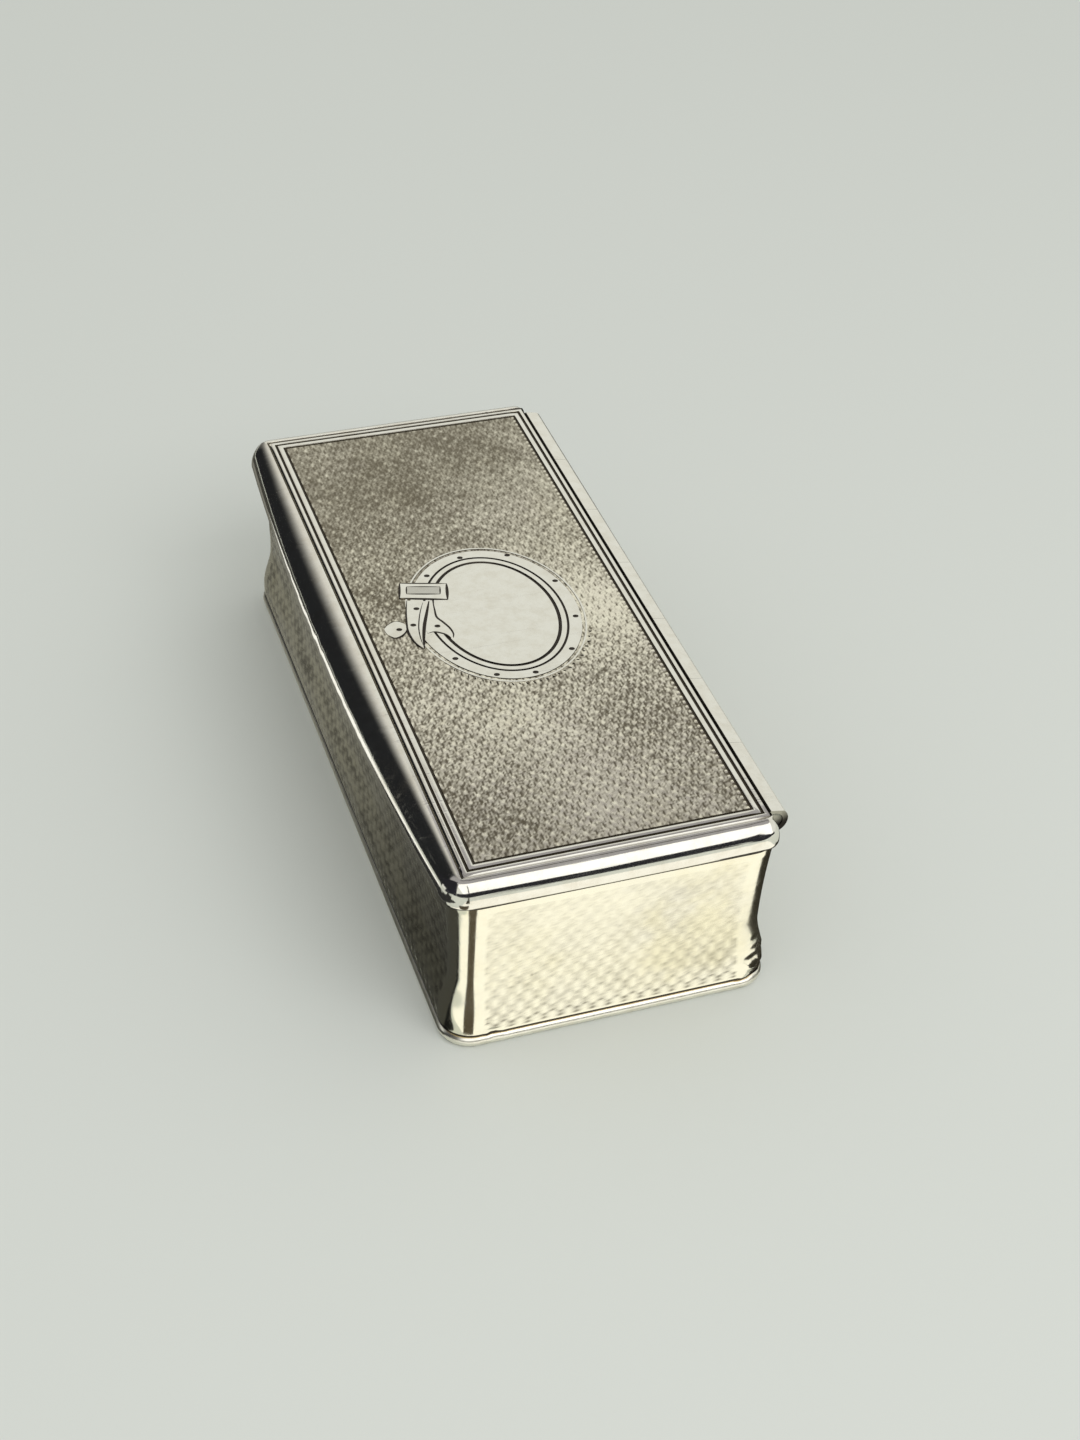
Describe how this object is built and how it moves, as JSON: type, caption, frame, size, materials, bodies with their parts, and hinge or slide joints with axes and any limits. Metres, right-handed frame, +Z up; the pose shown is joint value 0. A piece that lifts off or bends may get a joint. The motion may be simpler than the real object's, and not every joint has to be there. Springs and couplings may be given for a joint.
{
  "type": "snuff box",
  "caption": "Rectangular silver table snuff box with incurved sides on a base rim and a flat hinged lid in rounded mouldings, on an integral hinge.",
  "frame": {"origin": "middle of the overall box on the plane of its underside", "axes": "+Z up, +Y along the box's length, +X towards the hinge, -X towards the edge that opens"},
  "size_m": [0.0438, 0.0956, 0.026],
  "materials": {
    "silver_body": "engine-turned silver, worn, with a warm patina",
    "silver_lid": "engine-turned silver lid, grey-brown patina in the cuts",
    "silver_polished": "plain polished silver with fine scratches",
    "gilt_inside": "soft gilt",
    "steel_pin": "drawn wire"
  },
  "bodies": {
    "body": {"body_wall": "silver_body", "base_rim": "silver_polished", "base_plate": "silver_polished", "inner_bezel": "gilt_inside", "body_hinge_bearer": "gilt_inside", "body_knuckle_1": "silver_polished", "body_knuckle_2": "silver_polished", "body_knuckle_3": "silver_polished", "body_knuckle_4": "silver_polished", "hinge_pin": "steel_pin", "hinge_plug_near": "silver_polished", "hinge_plug_far": "silver_polished"},
    "lid": {"lid_plate": "silver_lid", "lid_front_moulding": "silver_polished", "lid_near_moulding": "silver_polished", "lid_far_moulding": "silver_polished", "lid_hinge_bearer": "gilt_inside", "lid_knuckle_1": "silver_polished", "lid_knuckle_2": "silver_polished", "lid_knuckle_3": "silver_polished"}
  },
  "joints": [
    {"name": "lid_hinge", "type": "hinge", "parent": "body", "child": "lid", "pos_m": [0.02013, 0, 0.02415], "axis": [0, 1, 0], "range_deg": [0, 105]}
  ]
}
